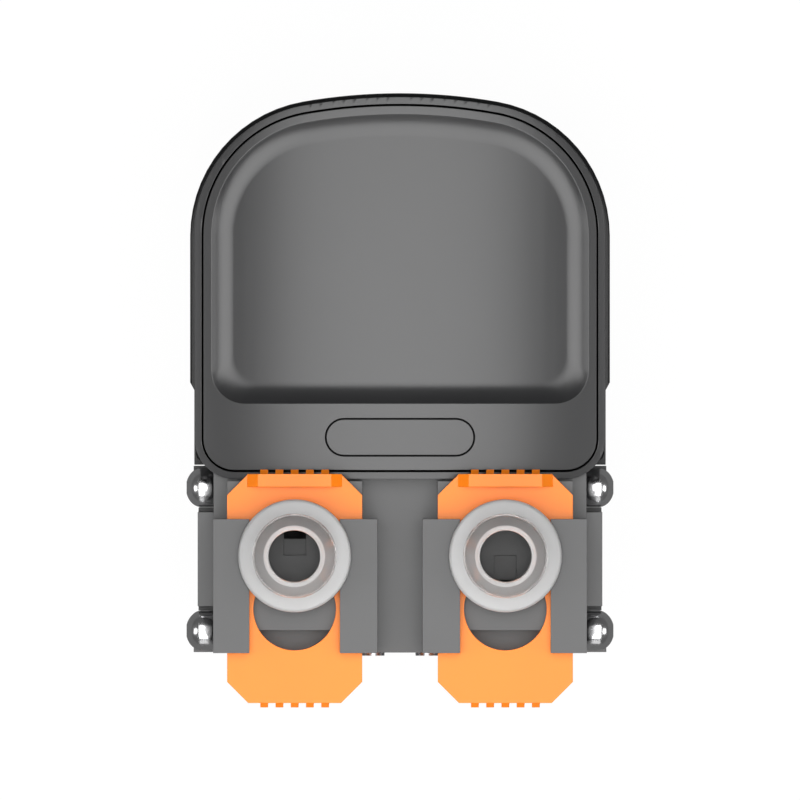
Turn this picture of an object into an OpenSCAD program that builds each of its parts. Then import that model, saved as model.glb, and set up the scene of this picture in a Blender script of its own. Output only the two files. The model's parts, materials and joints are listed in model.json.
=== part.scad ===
// Rotary diaphragm pump with two clip-in hose fittings on top. A brushed motor under the
// hood turns an eccentric, and the eccentric drives two opposed diaphragms in the head.
// X runs across the ports, Y from the ports to the motor's rear, and Z up from the feet.

/* [Housing] */
// Half width of the lower shell
tray_half_w = 37.95; // [37.7:0.05:39]
// Distance from the motor can's rear to the rear of the lower shell
rear_space = 12.4; // [12:0.1:18]
// Radius of the housing's rear curve
rear_curve_r = 102.1; // [90:0.1:120]
// Radius of the housing's rear corners
rear_corner_r = 24.6; // [20:0.1:28]
// Radius of the hood's front corners
front_corner_r = 7.2; // [5:0.1:9]
// How far the hood stands inside the lower shell all round
hood_step = 0.95; // [0.8:0.05:1.2]
// How far the hood's front lip reaches over the head, from the motor bay's front
lip_reach = 2.7; // [2:0.1:3.5]
// Wall thickness of tray and hood
housing_wall = 2.2; // [2:0.1:2.6]
// Floor thickness of the tray
tray_floor = 2.6; // [2:0.1:4]
// Height of the joint between tray and hood
split_z = 32; // [28:0.5:36]
// Height of the hood's crown
crown_z = 61.5; // [61:0.1:61.8]
// How far the crown falls from the middle to the hood's sides
crown_drop = 5.8; // [5.5:0.02:5.9]
// Width of the hood's rim around the lid
rim_w = 1.25; // [1:0.05:2]
// Open joint between rim and lid
lid_gap = 0.35; // [0.2:0.05:0.5]
// Thickness of the lid
lid_t = 1.95; // [1.5:0.05:2.5]
// Depth of the dish in the lid
dish_depth = 1.7; // [1.5:0.1:3.2]
// Width of the dish's sloping wall
dish_slope = 4.1; // [2:0.1:5]

/* [Mounting] */
// Distance between the mounting threads across the pump
mount_pitch_x = 48; // [44:1:48]
// Distance between the mounting threads along the pump
mount_pitch_y = 60; // [52:1:62]
// Distance from the mounting pattern's centre to the head's centre
head_offset = 32; // [30:0.5:34]
// Radius of the mounting threads
mount_thread_r = 2; // [1.5:0.1:2.5]
// Outer radius of the threaded bushes
bush_r = 4; // [3.5:0.1:4.5]
// Outer radius of the rubber feet
foot_r = 8; // [6:0.5:8.5]
// Height of the rubber feet
foot_h = 4; // [3:0.5:5]

/* [Head] */
// Half length of the head
head_half_y = 16.8; // [16.6:0.1:18]
// Half width of the head's covers at the screw seats
cover_seat_x = 33; // [32.5:0.1:33.2]
// How far the raised panel of a head cover stands out from the screw seats
cover_panel_t = 3.5; // [2.5:0.1:4]
// Half length of the raised panel
cover_panel_half_y = 8.5; // [7.5:0.1:8.8]
// Half width of the crankcase
case_half_x = 14.5; // [14.5:0.1:15]
// Thickness of the clamped rim of a diaphragm
diaphragm_t = 1.8; // [1.5:0.1:2.2]
// Thickness of a valve plate
valve_plate_t = 8; // [8:0.1:8.5]
// Distance from the head's axis to each head screw, along Y and along Z
head_screw_offset = 12.9; // [12.8:0.1:13]
// Radius of a head screw's shank
head_screw_r = 2; // [1.5:0.1:2.1]
// Radius of a head screw's head
head_screw_head_r = 3.5; // [3:0.1:3.6]
// Height of a head screw's domed head
head_screw_head_h = 5.5; // [4.5:0.1:6]
// Radius of the pumping chamber
chamber_r = 12; // [11.5:0.1:12.2]
// Thickness of the front cover
front_cover_t = 1; // [0.8:0.1:1.5]
// Half width of the front cover
front_cover_half_x = 37.25; // [36:0.05:37.5]
// Thickness of the rear plate between the head and the motor bay
rear_plate_t = 1; // [0.8:0.1:1.5]

/* [Drive] */
// Height of the motor and crank axis
axis_z = 33; // [32.5:0.1:33.2]
// Throw of the eccentric
throw_r = 1.5; // [1:0.1:1.6]
// Radius of the eccentric
eccentric_r = 4; // [3.8:0.1:4.2]
// Outer radius of a rod bearing
rod_bearing_r = 8; // [7:0.1:8.2]
// Width of a rod bearing
rod_bearing_w = 5; // [4:0.1:5.4]
// Radius of the motor shaft
shaft_r = 1.6; // [1.5:0.05:1.8]
// Outer radius of the motor can
can_r = 22; // [21:0.1:22.2]
// Length of the motor can
can_len = 55; // [54:0.5:58]
// Sheet thickness of the motor can
can_t = 1.4; // [1:0.1:1.8]
// Radius of the armature
armature_r = 16.6; // [14:0.1:16.8]
// Number of slots in the armature
armature_slots = 10; // [6:2:12]

/* [Ports] */
// Distance from the middle of the pump to each port's axis
port_x = 18.95; // [18.9:0.05:19.1]
// Distance from the head's centre to the ports' axes, along Y
port_y = 0.7; // [0:0.1:1]
// Half width of the port plate
plate_half_x = 33.6; // [33.5:0.05:34]
// Thickness of the port plate
plate_t = 4.5; // [4:0.1:4.6]
// Half length of a port's square base
port_base_half_y = 13.4; // [12:0.1:13.6]
// Height of the port bases above the plate
port_base_h = 7.5; // [7.5:0.1:8]
// Radius of a port's socket
socket_r = 7.05; // [6.9:0.01:7.2]
// Half the open width between a port's two rails
rail_gap_half = 8.15; // [7.8:0.05:8.6]
// Thickness of a rail's lip over the clip
rail_lip_t = 2.5; // [2:0.1:3]

/* [Clips] */
// Half width of a clip
clip_half_x = 12.15; // [12:0.01:12.16]
// Thickness of a clip
clip_t = 2.5; // [2:0.1:3]
// Distance from the port's axis to the clip's rear end
clip_rear_y = 14.7; // [14:0.1:15.5]
// Distance from the port's axis to the clip's front end
clip_front_y = 26.5; // [25:0.1:28]
// Chamfer of the clip's corners
clip_chamfer = 3.8; // [3:0.1:5]
// Travel of a clip from locked to open
clip_travel = 9.6; // [9.2:0.1:10]
// Half width of the locking slot
slot_half = 5.75; // [5.7:0.01:6]
// Radius of the release hole
release_r = 7.43; // [7.3:0.01:7.6]
// Number of grip ribs on each end of a clip
rib_count = 5; // [3:1:6]
// Distance between grip ribs
rib_pitch = 2.74; // [2.4:0.01:2.9]

/* [Fittings] */
// Radius of the fitting's flange
flange_r = 10.15; // [9.5:0.05:10.5]
// Thickness of the fitting's flange
flange_t = 2.5; // [2:0.1:3]
// Largest radius of the hose barb
barb_r = 7.55; // [7:0.05:8]
// Radius of the barb's tip
barb_tip_r = 5.65; // [5.4:0.05:6]
// Radius of the bore through the fitting
fitting_bore_r = 4.65; // [3.5:0.05:4.7]
// Number of teeth on the hose barb
barb_count = 3; // [2:1:4]
// Distance between the barb's teeth
barb_pitch = 5.2; // [4.5:0.1:6]

/* [Hidden] */
$fn = 64;
crown_fn = 256;
small_fn = 32;
eps = 0.05;
running_gap = 0.03;
clip_gap = 0.15;
seat_gap = 0.2;

// Heights of the layers, from the floor up
tray_z = foot_h;
tray_top_of_floor = tray_z + tray_floor;
neck_top_z = tray_z + 4;
head_half_z = 16.8;
head_low_z = axis_z - head_half_z;
plate_z = 50;
gasket_t = 0.6;
head_top_z = plate_z - gasket_t;
plate_top_z = plate_z + plate_t;
base_top_z = plate_top_z + port_base_h;
clip_z = base_top_z + seat_gap;
clip_top_z = clip_z + clip_t;
lip_z = clip_top_z + seat_gap;
lip_top_z = lip_z + rail_lip_t;
flange_z = lip_top_z + 0.1;
flange_top_z = flange_z + flange_t;

// Layers of the head, outwards from the middle
plate_in_x = case_half_x + diaphragm_t;
cover_in_x = plate_in_x + valve_plate_t;
block_front_y = -head_half_y + front_cover_t;
block_rear_y = head_half_y - rear_plate_t;
seal_t = 0.8;
seal_r = 6;
seal_shift = 0.12;
chamber_depth = 4.2;
panel_foot_half_y = head_screw_offset - head_screw_head_r - 0.1;
valve_y = 6.2;
valve_disc_r = 4.6;
valve_disc_t = 0.8;
valve_pocket = 1.2;
valve_hole_r = 0.9;
valve_hole_ring = 2.9;
valve_stem_r = 1.2;
passage_w = 5;
passage_x0 = cover_in_x + 0.8;
passage_x1 = 28.8;
plate_screw_x = 31.3;
plate_screw_r = 1.25;
screw_depth = 6.5;

// The motor bay
can_rear_y = head_half_y + can_len;
tray_rear_y = can_rear_y + rear_space;
hood_half_w = tray_half_w - hood_step;
crown_r = (pow(hood_half_w, 2) + pow(crown_drop, 2)) / (2 * crown_drop);
bay_front_y = head_half_y + 0.2;
hood_front_y = bay_front_y + 0.2;
tray_neck_half_x = 33;
tray_front_half_x = 37.2;
tray_step_y = 32;
tray_step_len = 1.5;
lip_front_y = hood_front_y - lip_reach;
lip_gap = 0.1;
lip_under_z = plate_top_z + lip_gap;
lip_corner_h = 2.4;
lip_notch_half_x = plate_half_x + 0.3;
lid_inset = rim_w + lid_gap;
ledge_t = 1.5;
lid_seat_gap = 0.1;
dish_inset = hood_step + lid_inset + 1.5;
ledge_inset = dish_inset + 0.2;
dish_front_y = 28.1;
dish_corner_r = 5.9;
floor_corner_r = 4.6;
motor_hole_r = can_r + 0.4;
post_x = tray_half_w - 6.45;
post_r = 3.8;
post_y = [bay_front_y + 7, bay_front_y + 30];
post_screw_r = 1.5;
post_top_z = 50;
bush_h = 12;
mount_thread_depth = 10;
bush_boss_z = bush_h + 1;
post_screw_len = 12;
washer_seat = 2.4;
case_screw_r = 1.5;
case_screw_head_h = 1.8;
case_screw_len = 11.5;
cradle_y = [36, can_rear_y - 9.8];
cradle_half_x = 16;
cradle_z = 20;

// The cable grommet
grommet_z = 18;
grommet_r = 5;
grommet_neck_r = grommet_r - 1.2;
grommet_recess = 1.4;
grommet_pad_t = 2.4;
grommet_face_y = tray_rear_y - grommet_recess;
cable_hole_r = 2.6;

// The drive
rod_y = 3;
rod_ring_r = rod_bearing_r + 2.2;
rod_disc_r = 5.5;
rod_disc_x = 13.1;
web_t = 1.4;
web_x = case_half_x + diaphragm_t / 2;
clamp_t = 1.4;
hub_y = rod_y + rod_bearing_w / 2 + 0.4;
hub_t = 2.4;
hub_r = 5;
weight_r = 10.5;
case_bore_r = 12.6;
case_bore_rear_y = 11;
boss_r = 6.5;
boss_len = 3;
bearing_r = 5;
bearing_w = 4;
magnet_t = 3;
magnet_y = [head_half_y + 9.2, can_rear_y - 11.8];
core_y = [head_half_y + 13.2, can_rear_y - 15.8];
winding_t = 4.5;
commutator_r = 6;
commutator_y = [can_rear_y - 9.8, can_rear_y - 3.8];
brush_y = commutator_y[0] + 1;
brush_len = 4;
brush_half_z = 2;
spring_x = 11.4;
tab_x = [12.6, 13.4];
tab_half_z = 2.6;
tab_out = 4.4;
cap_t = 4;
cap_spigot = 3;

// The fittings
stem_r = socket_r - 0.1;
groove_r = slot_half - 0.25;
spigot_end_z = plate_top_z - 1.5;
o_ring_r = 0.7;
o_ring_z = [spigot_end_z + 2.6, spigot_end_z + 5.8];
o_ring_centre_r = socket_r - 0.05 - o_ring_r;
barb_z = flange_top_z + 2;
barb_land = 0.8;
barb_root_r = 6.4;
barb_top_z = barb_z + barb_count * barb_pitch + 0.4;

// Places a piece drawn about the head's centre
module from_head() {
    translate([0, -head_offset, 0]) children();
}

// A cylinder along X, from x0 to x1
module bar_x(x0, x1, r, y = 0, z = axis_z, fn = $fn) {
    translate([x0, y, z]) rotate([0, 90, 0]) cylinder(r = r, h = x1 - x0, $fn = fn);
}

// A cylinder along Y, from y0 to y1
module bar_y(y0, y1, r, x = 0, z = axis_z, fn = $fn) {
    translate([x, y1, z]) rotate([90, 0, 0]) cylinder(r = r, h = y1 - y0, $fn = fn);
}

// A cylinder along Z, from z0 to z1
module bar_z(z0, z1, r, x = 0, y = 0, fn = $fn) {
    translate([x, y, z0]) cylinder(r = r, h = z1 - z0, $fn = fn);
}

// A block between two corners
module block(low, high) {
    translate(low) cube(high - low);
}

module both_sides() {
    children();
    mirror([1, 0, 0]) children();
}

module at_four(dx, dy) {
    for (sx = [-1, 1], sy = [-1, 1]) translate([sx * dx, sy * dy, 0]) children();
}

function arc(cx, cy, r, a0, a1, n, first = 0) = [for (i = [first:n])
    let (a = a0 + (a1 - a0) * i / n) [cx + r * cos(a), cy + r * sin(a)]];

// The housing's outline: straight front and sides, round corners and a curved rear
function housing_outline(half_w, front_y, rear_y, curve_r, side_r, front_r) =
    let (cx = half_w - side_r,
        cy = rear_y - curve_r + sqrt(pow(curve_r - side_r, 2) - pow(cx, 2)),
        a = asin(cx / (curve_r - side_r)),
        flat = half_w - front_r,
        front = [for (i = [1:4]) [flat * i / 5, front_y]],
        right = concat([[0, front_y]], front,
            arc(flat, front_y + front_r, front_r, -90, 0, 5),
            arc(cx, cy, side_r, 0, 90 - a, 14),
            arc(0, rear_y - curve_r, curve_r, 90 - a, 90, 8, 1)),
        left = [for (i = [len(right) - 2:-1:1]) [-right[i][0], right[i][1]]])
    concat(right, left);

// The outline at a distance inside the lower shell's
function inset_outline(d, front_y, front_r) = housing_outline(tray_half_w - d, front_y,
    tray_rear_y - d, rear_curve_r - d, rear_corner_r - d, front_r);

module prism(outline, z0, z1) {
    translate([0, 0, z0]) linear_extrude(z1 - z0) polygon(outline);
}

// Everything below the crown, or a skin's depth below it
module under_crown(depth = 0) {
    bar_y(-head_half_y, tray_rear_y + 5, crown_r - depth, 0, crown_z - crown_r, crown_fn);
}

function crown_at(x, depth) = crown_z - crown_r + sqrt(pow(crown_r - depth, 2) - x * x);
function on_crown(outline, depth) = [for (p = outline) [p[0], p[1], crown_at(p[0], depth)]];
function shrunk(outline, s, cy) = [for (p = outline) [p[0] * s, cy + (p[1] - cy) * s]];

// A closed skin through rings of points, each ring as long as the next
module skin(rings, start, end) {
    n = len(rings[0]);
    last = (len(rings) - 1) * n;
    points = concat([for (ring = rings) each ring], [start, end]);
    bands = [for (k = [0:len(rings) - 2], i = [0:n - 1])
        let (a = k * n + i, b = k * n + (i + 1) % n) [a, a + n, b + n, b]];
    low = [for (i = [0:n - 1]) [len(points) - 2, i, (i + 1) % n]];
    high = [for (i = [0:n - 1]) [len(points) - 1, last + (i + 1) % n, last + i]];
    polyhedron(points, concat([for (q = bands) each [[q[0], q[1], q[2]], [q[0], q[2], q[3]]]],
        low, high));
}

module mount_places() {
    translate([0, head_offset, 0]) at_four(mount_pitch_x / 2, mount_pitch_y / 2) children();
}

module rubber_feet() {
    color("#2b2b2d") from_head() mount_places() difference() {
        union() {
            bar_z(1, foot_h, foot_r);
            bar_z(0, 1, foot_r - 1);
        }
        bar_z(-eps, foot_h + eps, bush_r);
    }
}

module mount_bushes() {
    color("#b8923e") from_head() mount_places() difference() {
        bar_z(0, bush_h, bush_r);
        bar_z(-eps, mount_thread_depth, mount_thread_r);
    }
}

module post_places() {
    for (sx = [-1, 1], y = post_y) translate([sx * post_x, y, 0]) children();
}

module case_screw_places() {
    at_four(9, 10) children();
}

module tray_outline() {
    difference() {
        polygon(inset_outline(0, bay_front_y, 0.5));
        both_sides() polygon([[tray_front_half_x, 0], [tray_front_half_x, tray_step_y - tray_step_len],
            [tray_half_w + eps, tray_step_y], [tray_half_w + 5, tray_step_y],
            [tray_half_w + 5, 0]]);
    }
}

module base_tray() {
    color("#4b4b4d") from_head() difference() {
        union() {
            translate([0, 0, tray_z]) linear_extrude(split_z - tray_z) tray_outline();
            block([-tray_neck_half_x, -head_half_y + front_cover_t, tray_z],
                [tray_neck_half_x, bay_front_y + 1, neck_top_z]);
            intersection() {
                mount_places() bar_z(tray_z, bush_boss_z, bush_r + 2);
                block([-60, -head_half_y, 0], [60, bay_front_y, 60]);
            }
        }
        difference() {
            prism(inset_outline(housing_wall, bay_front_y + housing_wall, 1),
                tray_top_of_floor, split_z + 1);
            post_places() bar_z(tray_z, split_z, post_r);
            mount_places() bar_z(tray_z, bush_boss_z, bush_r + 2);
            for (y = cradle_y) difference() {
                block([-cradle_half_x, y - 1.2, tray_z], [cradle_half_x, y + 1.2, cradle_z]);
                bar_y(y - 2, y + 2, can_r + 0.1);
            }
            block([-12, grommet_face_y - grommet_pad_t, tray_z],
                [12, tray_rear_y, grommet_z + 8]);
        }
        difference() {
            prism(inset_outline(1.2, bay_front_y + 0.9, 1), split_z - 0.8, split_z + eps);
            prism(inset_outline(1.9, bay_front_y + 1.6, 1), split_z - 1, split_z + 1);
        }
        bar_y(0, bay_front_y + housing_wall + 1, motor_hole_r);
        mount_places() bar_z(0, bush_h, bush_r);
        post_places() {
            bar_z(0, split_z + 1, post_screw_r + 0.2, fn = small_fn);
            bar_z(0, tray_z + washer_seat, 3.1, fn = small_fn);
        }
        case_screw_places() {
            bar_z(0, 20, case_screw_r + 0.2, fn = small_fn);
            bar_z(0, tray_z + case_screw_head_h, 3.1, fn = small_fn);
        }
        block([-8, grommet_face_y, grommet_z - 7], [8, tray_rear_y + 1, grommet_z + 7]);
        bar_y(tray_rear_y - 10, tray_rear_y + 1, grommet_neck_r, 0, grommet_z);
    }
}

module housing_screws() {
    color("#c9c9cc") from_head() post_places() {
        bar_z(tray_z + 0.4, tray_z + washer_seat, 2.8, fn = small_fn);
        bar_z(tray_z + washer_seat - eps, split_z + post_screw_len, post_screw_r, fn = small_fn);
    }
}

module housing_seal() {
    color("#202022") from_head() difference() {
        prism(inset_outline(1.2, bay_front_y + 0.9, 1), split_z - 0.8, split_z);
        prism(inset_outline(1.9, bay_front_y + 1.6, 1), split_z - 1, split_z + 1);
        bar_y(0, bay_front_y + housing_wall + 1, motor_hole_r);
    }
}

module hood_shell() {
    color("#454547") from_head() {
        difference() {
            intersection() {
                union() {
                    prism(inset_outline(hood_step, hood_front_y, front_corner_r),
                        split_z, crown_z + 3);
                    prism(inset_outline(hood_step, lip_front_y, front_corner_r),
                        lip_under_z, crown_z + 3);
                    difference() {
                        prism(inset_outline(hood_step, lip_front_y, front_corner_r),
                            lip_under_z - lip_corner_h, crown_z + 3);
                        block([-lip_notch_half_x, lip_front_y - 1, split_z],
                            [lip_notch_half_x, bay_front_y - 0.1, crown_z + 4]);
                    }
                }
                under_crown();
            }
            difference() {
                intersection() {
                    prism(inset_outline(hood_step + housing_wall, hood_front_y + housing_wall,
                        front_corner_r - housing_wall), split_z - 1, crown_z + 3);
                    under_crown(lid_t + ledge_t);
                }
                post_places() bar_z(split_z, post_top_z, post_r);
            }
            difference() {
                prism(inset_outline(hood_step + rim_w, lip_front_y + rim_w,
                    front_corner_r - rim_w), split_z + 5, crown_z + 4);
                under_crown(lid_t + lid_seat_gap);
            }
            prism(inset_outline(ledge_inset, hood_front_y + 5,
                front_corner_r - 3), post_top_z + 1, crown_z + 5);
            bar_y(0, hood_front_y + housing_wall + 1, motor_hole_r);
            post_places()
                bar_z(split_z - 1, split_z + post_screw_len + 0.5, post_screw_r, fn = small_fn);
        }
    }
}

function lid_outline(d) = inset_outline(hood_step + lid_inset + d,
    lip_front_y + lid_inset + d, front_corner_r - lid_inset - d);
function dish_outline(d, corner) = inset_outline(dish_inset + d, dish_front_y + d, corner);

// The lid is a skin between its top and its underside, both bent to the hood's crown
module hood_lid() {
    mid_y = (dish_front_y + tray_rear_y) / 2;
    low = lid_t + dish_depth;
    dish_floor = dish_outline(dish_slope, floor_corner_r);
    under_floor = dish_outline(dish_slope - 1, floor_corner_r);
    rings = [
        on_crown(shrunk(under_floor, 0.3, mid_y), low),
        on_crown(shrunk(under_floor, 0.65, mid_y), low),
        on_crown(under_floor, low),
        on_crown(dish_outline(0.4, dish_corner_r), lid_t),
        on_crown(lid_outline(0), lid_t),
        on_crown(lid_outline(0), 0.3),
        on_crown(lid_outline(0.3), 0),
        on_crown(dish_outline(0, dish_corner_r), 0),
        on_crown(dish_outline(dish_slope * 0.17, dish_corner_r), dish_depth * 0.31),
        on_crown(dish_outline(dish_slope * 0.4, dish_corner_r), dish_depth * 0.64),
        on_crown(dish_outline(dish_slope * 0.7, floor_corner_r), dish_depth * 0.91),
        on_crown(dish_floor, dish_depth),
        on_crown(shrunk(dish_floor, 0.65, mid_y), dish_depth),
        on_crown(shrunk(dish_floor, 0.3, mid_y), dish_depth)];
    color("#5a5a5c") from_head() skin(rings, [0, mid_y, crown_at(0, low)],
        [0, mid_y, crown_at(0, dish_depth)]);
}

module cable_grommet() {
    inner_y = grommet_face_y - grommet_pad_t;
    color("#2b2b2d") from_head() difference() {
        union() {
            bar_y(inner_y - 1.6, grommet_face_y + 1.2, grommet_neck_r, 0, grommet_z);
            bar_y(grommet_face_y, grommet_face_y + 1.2, grommet_r, 0, grommet_z);
            bar_y(inner_y - 1.6, inner_y, grommet_r, 0, grommet_z);
        }
        bar_y(inner_y - 2, tray_rear_y, cable_hole_r, 0, grommet_z);
    }
}

module head_screw_places() {
    for (sy = [-1, 1], sz = [-1, 1])
        translate([0, sy * head_screw_offset, sz * head_screw_offset]) children();
}

module front_screw_places() {
    for (sx = [-1, 1], sz = [-1, 1]) translate([sx * 5, 0, sz * (case_bore_r + 1.7)]) children();
}

module motor_screw_places() {
    for (sz = [-1, 1]) translate([0, 0, sz * 9.6]) children();
}

module crankcase() {
    color("#55585a") from_head() difference() {
        block([-case_half_x, block_front_y, neck_top_z],
            [case_half_x, block_rear_y, head_top_z]);
        bar_x(-case_half_x - 1, case_half_x + 1, case_bore_r);
        bar_y(block_front_y - 1, case_bore_rear_y, case_bore_r);
        bar_y(case_bore_rear_y - 1, head_half_y + 1, 4.5);
        bar_y(head_half_y - boss_len, head_half_y + 1, boss_r);
        both_sides() head_screw_places()
            bar_x(case_half_x - screw_depth, case_half_x + 1, head_screw_r, fn = small_fn);
        front_screw_places()
            bar_y(block_front_y - 1, block_front_y + 6, plate_screw_r, fn = small_fn);
        motor_screw_places()
            bar_y(case_bore_rear_y - 1, head_half_y + 1, 1.5 + 0.1, fn = small_fn);
        case_screw_places()
            bar_z(0, tray_z + case_screw_len + 0.5, case_screw_r, fn = small_fn);
    }
}

module crankcase_screws() {
    color("#c9c9cc") from_head() case_screw_places() {
        bar_z(tray_z, tray_z + case_screw_head_h, 2.8, fn = small_fn);
        bar_z(tray_z + case_screw_head_h - eps, tray_z + case_screw_len, case_screw_r,
            fn = small_fn);
    }
}

module front_cover() {
    color("#4b4b4d") from_head() difference() {
        union() {
            block([-front_cover_half_x, -head_half_y, head_low_z],
                [front_cover_half_x, -head_half_y + front_cover_t, head_top_z]);
            block([-case_half_x, -head_half_y, neck_top_z],
                [case_half_x, -head_half_y + front_cover_t, head_low_z + 1]);
        }
        front_screw_places()
            bar_y(-head_half_y - 1, -head_half_y + 2, plate_screw_r + 0.15, fn = small_fn);
        screw_notches(-head_half_y - 1, block_front_y + 1);
    }
}

// Makes room for the head screws at the edges of the front cover and the rear plate
module screw_notches(y0, y1) {
    half = head_screw_head_r + seat_gap;
    both_sides() for (sz = [-1, 1]) {
        z = axis_z + sz * head_screw_offset;
        block([cover_seat_x, y0, z - half], [front_cover_half_x + 1, y1, z + half]);
    }
}

module rear_plate() {
    y0 = block_rear_y;
    y1 = head_half_y;
    color("#4b4b4d") from_head() difference() {
        block([-front_cover_half_x, y0, head_low_z], [front_cover_half_x, y1, head_top_z]);
        bar_y(y0 - 1, y1 + 1, boss_r);
        motor_screw_places() bar_y(y0 - 1, y1 + 1, 1.5 + 0.1, fn = small_fn);
        screw_notches(y0 - 1, y1 + 1);
    }
}

module front_cover_screws() {
    color("#c9c9cc") from_head() front_screw_places() {
        bar_y(-head_half_y - 0.6, -head_half_y, 2.2, fn = small_fn);
        bar_y(-head_half_y - eps, -head_half_y + front_cover_t + 5.5, plate_screw_r,
            fn = small_fn);
    }
}

// The channels that join each port to both halves of the head
module channels(z0, z1) {
    for (sy = [-1, 1]) {
        block([-passage_x1, sy * valve_y - passage_w / 2, z0],
            [passage_x1, sy * valve_y + passage_w / 2, z1]);
    }
}

// A trough under each socket: one leads to the suction channel, the other to delivery
module socket_links(z0, z1) {
    for (side = [-1, 1]) {
        reach = -side * (valve_y - 1);
        block([side * port_x - 2, min(port_y, reach), z0],
            [side * port_x + 2, max(port_y, reach), z1]);
    }
}

module port_gasket() {
    color("#202022") from_head() difference() {
        block([-cover_seat_x, -head_half_y, head_top_z], [cover_seat_x, head_half_y, plate_z]);
        both_sides() for (sy = [-1, 1])
            block([passage_x0, sy * valve_y - passage_w / 2, head_top_z - 1],
                [passage_x1, sy * valve_y + passage_w / 2, plate_z + 1]);
        both_sides() bar_z(head_top_z - 1, plate_z + 1, plate_screw_r + 0.15,
            plate_screw_x, 0, small_fn);
    }
}

module at_port() {
    translate([port_x, port_y, 0]) children();
}

// One of a port's two rails: an upright with a lip that reaches over the clip
module rail(inner) {
    leg_x = clip_half_x + clip_gap;
    out_x = inner ? port_x - 4.05 : plate_half_x - port_x;
    front_y = -head_half_y - port_y;
    rear_y = 6.6;
    sign = inner ? -1 : 1;
    x_leg = [min(sign * leg_x, sign * out_x), max(sign * leg_x, sign * out_x)];
    x_lip = [min(sign * rail_gap_half, sign * out_x), max(sign * rail_gap_half, sign * out_x)];
    block([x_leg[0], front_y, plate_top_z - eps], [x_leg[1], rear_y, lip_top_z]);
    block([x_lip[0], front_y, lip_z], [x_lip[1], rear_y, lip_top_z]);
}

module port_plate() {
    socket_floor_z = spigot_end_z - 0.4;
    color("#7a7a7c") from_head() difference() {
        union() {
            block([-plate_half_x, -head_half_y, plate_z], [plate_half_x, head_half_y, plate_top_z]);
            both_sides() at_port() {
                block([-clip_half_x, -port_base_half_y, plate_top_z - eps],
                    [clip_half_x, port_base_half_y, base_top_z]);
                rail(true);
                rail(false);
            }
        }
        both_sides() at_port() bar_z(socket_floor_z, base_top_z + 1, socket_r);
        channels(plate_z - 1, plate_z + 1.6);
        socket_links(plate_z + 0.8, socket_floor_z + eps);
        both_sides() bar_z(plate_z - 1, plate_z + 8, plate_screw_r, plate_screw_x, 0, small_fn);
    }
}

module port_plate_screws() {
    color("#c9c9cc") from_head() both_sides() {
        bar_z(head_low_z - 1.6, head_low_z, 2.2, plate_screw_x, 0, small_fn);
        bar_z(head_low_z - eps, plate_z + 7.5, plate_screw_r, plate_screw_x, 0, small_fn);
    }
}

// A diaphragm: clamped rim, rolled web and a flat middle moved by the throw
module diaphragm(shift) {
    rim_x = case_half_x;
    mid_x = web_x - web_t / 2 + shift;
    profile = [[2, mid_x], [7, mid_x], [9, mid_x + 0.3], [chamber_r - 0.6, rim_x + 0.5],
        [chamber_r + 0.5, rim_x], [15, rim_x], [15, rim_x + diaphragm_t],
        [chamber_r + 0.5, rim_x + diaphragm_t], [chamber_r - 0.9, rim_x + diaphragm_t - 0.3],
        [9.2, mid_x + web_t + 0.3], [7, mid_x + web_t], [2, mid_x + web_t]];
    translate([0, 0, axis_z]) rotate([0, 90, 0]) rotate_extrude($fn = 96) polygon(profile);
}

module right_diaphragm() {
    color("#26262a") from_head() diaphragm(throw_r);
}

module left_diaphragm() {
    color("#26262a") from_head() mirror([1, 0, 0]) diaphragm(-throw_r);
}

module head_block(x0, x1) {
    block([x0, block_front_y, head_low_z], [x1, block_rear_y, head_top_z]);
}

module valve_plate() {
    chamber_x = plate_in_x + chamber_depth;
    difference() {
        head_block(plate_in_x, cover_in_x);
        bar_x(plate_in_x - 1, chamber_x, chamber_r);
        for (sy = [-1, 1]) {
            bar_x(chamber_x - 1, cover_in_x + 1, valve_stem_r, sy * valve_y, fn = small_fn);
            for (a = [0:90:270]) bar_x(chamber_x - 1, cover_in_x + 1, valve_hole_r,
                sy * valve_y + valve_hole_ring * cos(a), axis_z + valve_hole_ring * sin(a), small_fn);
        }
        bar_x(chamber_x - 1, chamber_x + valve_pocket, valve_disc_r + 0.4, valve_y);
        bar_x(cover_in_x - valve_pocket, cover_in_x + 1, valve_disc_r + 0.4, -valve_y);
        head_screw_places() bar_x(0, 40, head_screw_r + 0.1, fn = small_fn);
    }
}

module right_valve_plate() {
    color("#d8d8d2") from_head() valve_plate();
}

module left_valve_plate() {
    color("#d8d8d2") from_head() mirror([1, 0, 0]) valve_plate();
}

// An umbrella valve: a thin disc that lies over the holes, and a stem with a bead
module umbrella_valve(x, dir, y) {
    translate([x, y, axis_z]) rotate([0, dir * 90, 0]) {
        translate([0, 0, -valve_disc_t]) cylinder(r = valve_disc_r, h = valve_disc_t);
        cylinder(r = valve_stem_r, h = 2.5, $fn = small_fn);
    }
}

module inlet_valves() {
    x = plate_in_x + chamber_depth + valve_pocket;
    color("#e2703a") from_head() both_sides() umbrella_valve(x, 1, valve_y);
}

module outlet_valves() {
    x = cover_in_x - valve_pocket;
    color("#e2703a") from_head() both_sides() umbrella_valve(x, -1, -valve_y);
}

module head_seals() {
    x1 = cover_in_x + seal_t;
    color("#202022") from_head() both_sides() for (sy = [0, 1]) mirror([0, sy, 0]) difference() {
        bar_x(cover_in_x, x1, seal_r, valve_y + seal_shift);
        bar_x(cover_in_x - 1, x1 + 1, seal_r - 0.8, valve_y);
        block([cover_in_x - 1, -seal_r, 0], [x1 + 1, 0.3, head_top_z]);
    }
}

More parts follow.
